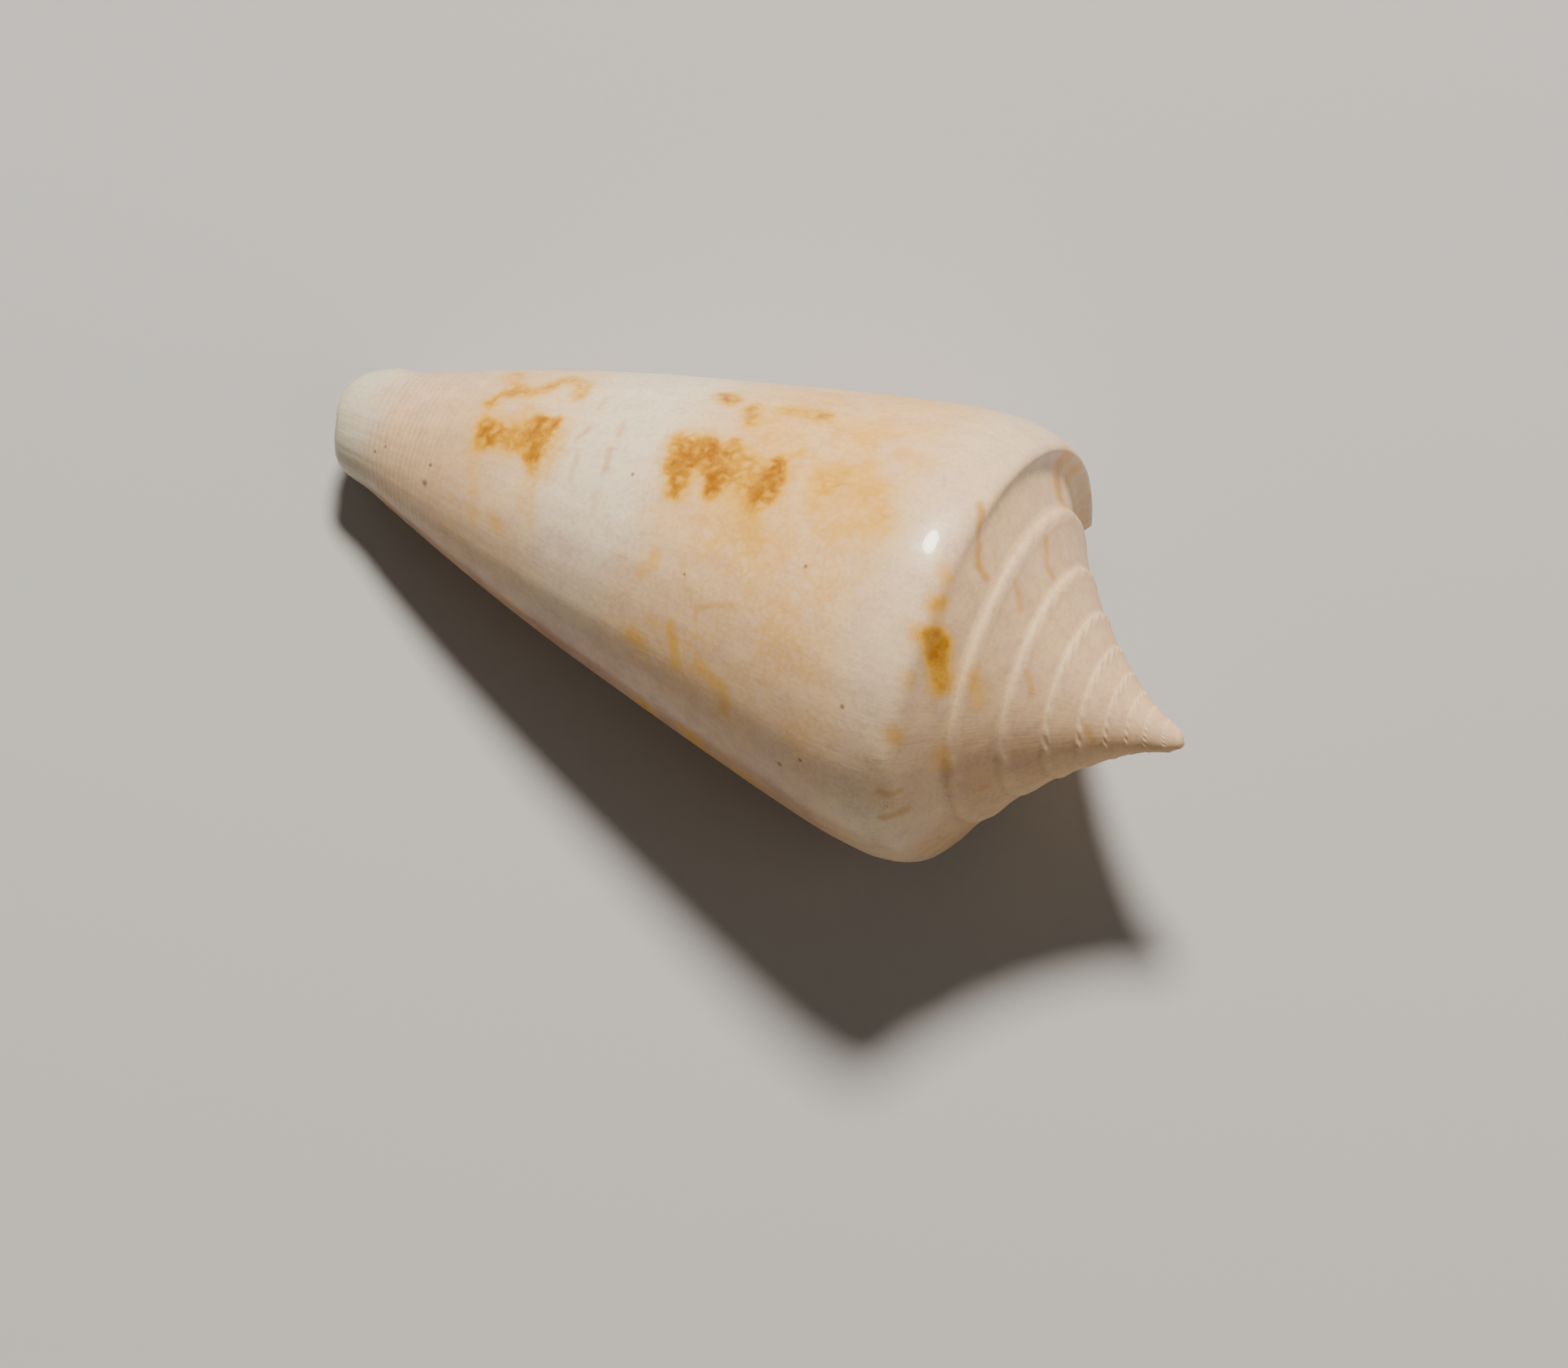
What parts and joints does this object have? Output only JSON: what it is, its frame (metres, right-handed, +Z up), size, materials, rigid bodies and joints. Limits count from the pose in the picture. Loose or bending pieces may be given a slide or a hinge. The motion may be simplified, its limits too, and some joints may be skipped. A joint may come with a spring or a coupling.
{
  "type": "conus glorioceanus shell",
  "caption": "Small cone-shaped seashell with a pointed stepped spire, ridged shoulder and long tapering body, lying on its aperture.",
  "frame": {"origin": "middle of the shell's footprint, on the surface that it lies on", "axes": "+X towards the pointed apex of the spire, +Z up, so the aperture faces down"},
  "size_m": [0.03, 0.015, 0.0135],
  "materials": {
    "shell": "gloss"
  },
  "bodies": {
    "root": {"shell": "shell"}
  },
  "joints": []
}
